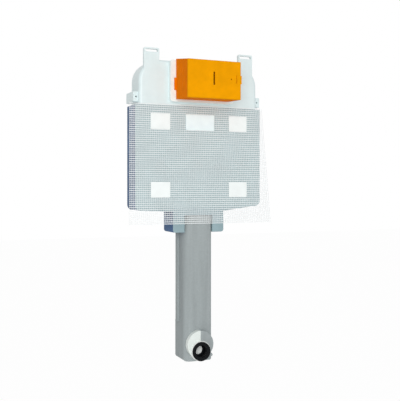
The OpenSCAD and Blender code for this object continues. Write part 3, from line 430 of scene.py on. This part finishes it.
def pressed_film(name, colour):
    """Thin white film: the net's squares press through as two crossed sine waves, with soft creases."""
    material, tree, shader = finish_of(name, Roughness=0.42, Coat_Weight=0.08, Coat_Roughness=0.35)
    at = place(tree)
    lines = [add(tree, "TexWave", {"bands_direction": axis}, Vector=at, Scale=wave_scale(NET_PITCH))
             for axis in ("X", "Z")]
    grid = combine(tree, "Math", "MAXIMUM", *(line.outputs["Fac"] for line in lines))
    crease = noise(tree, at, 45.0, 4.0)
    connect(tree, shader,
            Base_Color=tones(tree, crease, colour, 0.985, 1.01),
            Normal=raised(tree, grid, 0.00012, raised(tree, crease, 0.0005)))
    return material


dress(pressed_film("adhesive_film", FILM_WHITE), "net_patches")
dress(pressed_film("label_film", LABEL_COOLED_WHITE), "label_plate")

# Window frame and builder's guard: a white frame round the service window carries a bright orange
# polypropylene sleeve, drafted towards its cap, which the fitter pulls off after plastering.
FRAME_WHITE = (237, 247, 246)
CAP_ORANGE = (235, 156, 2)
# The sleeve's deeper, redder orange than the cap's is painted shade for its side walls and underside.
SLEEVE_SHADE_ORANGE = (232, 122, 1)

frame_plastic = moulded("frame_moulding", FRAME_WHITE, roughness=0.4, flow=48, grain=2000, mottle=0.015)
dress(frame_plastic, "window_frame")
for part, colour in (("guard_cap", CAP_ORANGE), ("guard_sleeve", SLEEVE_SHADE_ORANGE)):
    dress(moulded(part + "_polypropylene", colour, roughness=0.8, flow=34, grain=1500, flow_depth=0.0004,
                  grain_depth=0.00008, Specular_IOR_Level=0.03), part)

# Flush bend: a white drop pipe sealed to the valve's tail by a nut, turned forward at the foot and
# ended by a thick rubber cuff in a white half collar. Two grey bead-foam shells insulate it.
PIPE_WHITE = (246, 249, 247)
CUFF_BLACK = (6, 8, 11)
CUFF_RINGS = 0.0015
SLEEVE_GREY = (157, 165, 166)
BEAD = 0.0035


def bead_foam(name, colour):
    """Steam-fused bead foam: rounded Voronoi cells of one bead each, every bead a little lighter or
    darker, and slow tone bands that run down the moulding."""
    material, tree, shader = finish_of(name, Roughness=0.62, Specular_IOR_Level=0.35)
    bead = add(tree, "TexVoronoi", Vector=place(tree), Scale=1 / BEAD)
    grey = add(tree, "RGBToBW", Color=bead.outputs["Color"]).outputs[0]
    band = noise(tree, place(tree, (1, 1, 0.06)), 60.0, 2.0)
    toned = combine(tree, "Math", "ADD", band, spread(tree, grey, -0.12, 0.12))
    connect(tree, shader,
            Base_Color=tones(tree, toned, colour, 0.95, 1.04, span=(0.25, 0.75)),
            Normal=raised(tree, bead.outputs["Distance"], 0.00012))
    return material


cuff_low, cuff_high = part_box("outlet_cuff")
cuff_middle = tuple((a + b) / 2 for a, b in zip(cuff_low, cuff_high))
pipe_plastic = moulded("white_polyethylene", PIPE_WHITE, roughness=0.5, flow=40, grain=1800, mottle=0.01)
dress(pipe_plastic, "flush_pipe")
dress(white_plastic, "union_nut", "outlet_collar")
dress(seal_rubber, "cone_seal")
dress(moulded_rubber("cuff_rubber", CUFF_BLACK, cuff_middle, CUFF_RINGS, shine=0.12), "outlet_cuff")
dress(bead_foam("bead_foam", SLEEVE_GREY), "sleeve_left", "sleeve_right")

# Dust plug: a thin white cup pressed into the pipe's end behind the cuff's lip, which keeps builders'
# dust out until the pan is joined. A low ring on its face stiffens it and gives a grip.
PLUG_R = 0.0199
PLUG_WALL = 0.0014
PLUG_DEPTH = 0.007
PLUG_SET_BACK = 0.0006
PLUG_SIDES = 72
FACE_STEPS = 28
RING_R = 0.0085
RING_RISE = 0.0005
RING_SPREAD = 0.0012


def turned(name, radius, depth, middle):
    """A profile of radii and depths, from the axis and back to it, carried round the Y axis through a
    middle point, so that station s and angle a give the point (radius cos a, depth, radius sin a)."""
    angle = np.linspace(0, 2 * math.pi, PLUG_SIDES, endpoint=False)
    points = np.stack([np.outer(np.cos(angle), radius) + middle[0],
                       np.broadcast_to(depth, (PLUG_SIDES, len(depth))),
                       np.outer(np.sin(angle), radius) + middle[2]], axis=-1)
    at = np.arange(points.size // 3).reshape(PLUG_SIDES, -1)
    beside = np.roll(at, -1, 0)
    faces = np.stack([at[:, :-1], at[:, 1:], beside[:, 1:], beside[:, :-1]], axis=-1)
    mesh = bpy.data.meshes.new(name)
    mesh.from_pydata(points.reshape(-1, 3), [], faces.reshape(-1, 4).tolist())
    shape = bmesh.new()
    shape.from_mesh(mesh)
    bmesh.ops.remove_doubles(shape, verts=shape.verts, dist=MERGE_WITHIN)
    bmesh.ops.recalc_face_normals(shape, faces=shape.faces)
    shape.to_mesh(mesh)
    shape.free()
    mesh.shade_smooth()
    mesh.set_sharp_from_angle(angle=SMOOTH_ANGLE)
    return mesh


plug_inner = PLUG_R - PLUG_WALL
face_r = np.linspace(0, PLUG_R - PLUG_WALL / 2, FACE_STEPS)
face_y = -RING_RISE * np.exp(-((face_r - RING_R) / RING_SPREAD) ** 2)
wall_r = np.array([PLUG_R, PLUG_R, plug_inner, plug_inner, 0])
wall_y = np.array([PLUG_WALL / 2, PLUG_DEPTH, PLUG_DEPTH, PLUG_WALL, PLUG_WALL])
plug_r = np.concatenate([face_r, wall_r])
plug_y = cuff_high[1] + PLUG_SET_BACK + np.concatenate([face_y, wall_y])
plug = put("dust_plug", turned("dust_plug", plug_r, plug_y, cuff_middle))
plug.data.materials.append(pipe_plastic)
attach(plug, "cistern")

# Studio: a white floor where the finished floor lies under the outlet, one large soft lamp behind and
# above the camera, and an even white surround.
FLOOR_BELOW_OUTLET = 0.33
FLOOR_HALF = 9.0
FLOOR_WHITE = (240, 240, 240)
AMBIENT = 0.55
SEEN_WHITE = 0.97
LAMP_SPOT = (-1.15, -3.4, 0.5)
LAMP_AIM = (0, -0.04, -0.1)
LAMP_POWER = 62
LAMP_SIZE = 2.2


def seen_directly(tree):
    """1 for rays from the camera, from a mirror-like surface or through glass, and 0 for the rest."""
    path = add(tree, "LightPath")
    seen = path.outputs["Is Camera Ray"]
    for ray in ("Is Glossy Ray", "Is Transmission Ray"):
        seen = combine(tree, "Math", "MAXIMUM", seen, path.outputs[ray])
    return seen


def studio_white(name):
    """The floor's finish: matt white that takes the shadow, and nearly all glow where it is seen."""
    material, tree, shader = finish_of(name, Roughness=0.9, Base_Color=linear(*FLOOR_WHITE))
    glow = add(tree, "Emission", Strength=1.0)
    mixed = add(tree, "MixShader", Fac=combine(tree, "Math", "MULTIPLY", seen_directly(tree), SEEN_WHITE))
    feed(tree, mixed.inputs[1], shader.outputs[0])
    feed(tree, mixed.inputs[2], glow.outputs[0])
    connect(tree, tree.nodes["Material Output"], Surface=mixed.outputs[0])
    return material


floor_z = cuff_middle[2] - FLOOR_BELOW_OUTLET
corners = [(x * FLOOR_HALF, y * FLOOR_HALF, floor_z) for x, y in ((-1, -1), (1, -1), (1, 1), (-1, 1))]
floor_mesh = bpy.data.meshes.new("studio_floor")
floor_mesh.from_pydata(corners, [], [(0, 1, 2, 3)])
floor_mesh.materials.append(studio_white("studio_white"))
floor = put("studio_floor", floor_mesh)

world = bpy.data.worlds.new("studio_world")
world.use_nodes = True
sky = world.node_tree
connect(sky, sky.nodes["Background"], Color=(1, 1, 1, 1),
        Strength=spread(sky, seen_directly(sky), AMBIENT, 1.0))
scene.world = world

lamp = bpy.data.lights.new("key_lamp", "AREA")
lamp.energy, lamp.size = LAMP_POWER, LAMP_SIZE
holder = put("key_lamp", lamp)
holder.location = LAMP_SPOT
aim_x, aim_y, aim_z = np.subtract(LAMP_AIM, LAMP_SPOT)
holder.rotation_euler = (math.atan2(math.hypot(aim_x, aim_y), -aim_z), 0, math.atan2(-aim_x, aim_y))
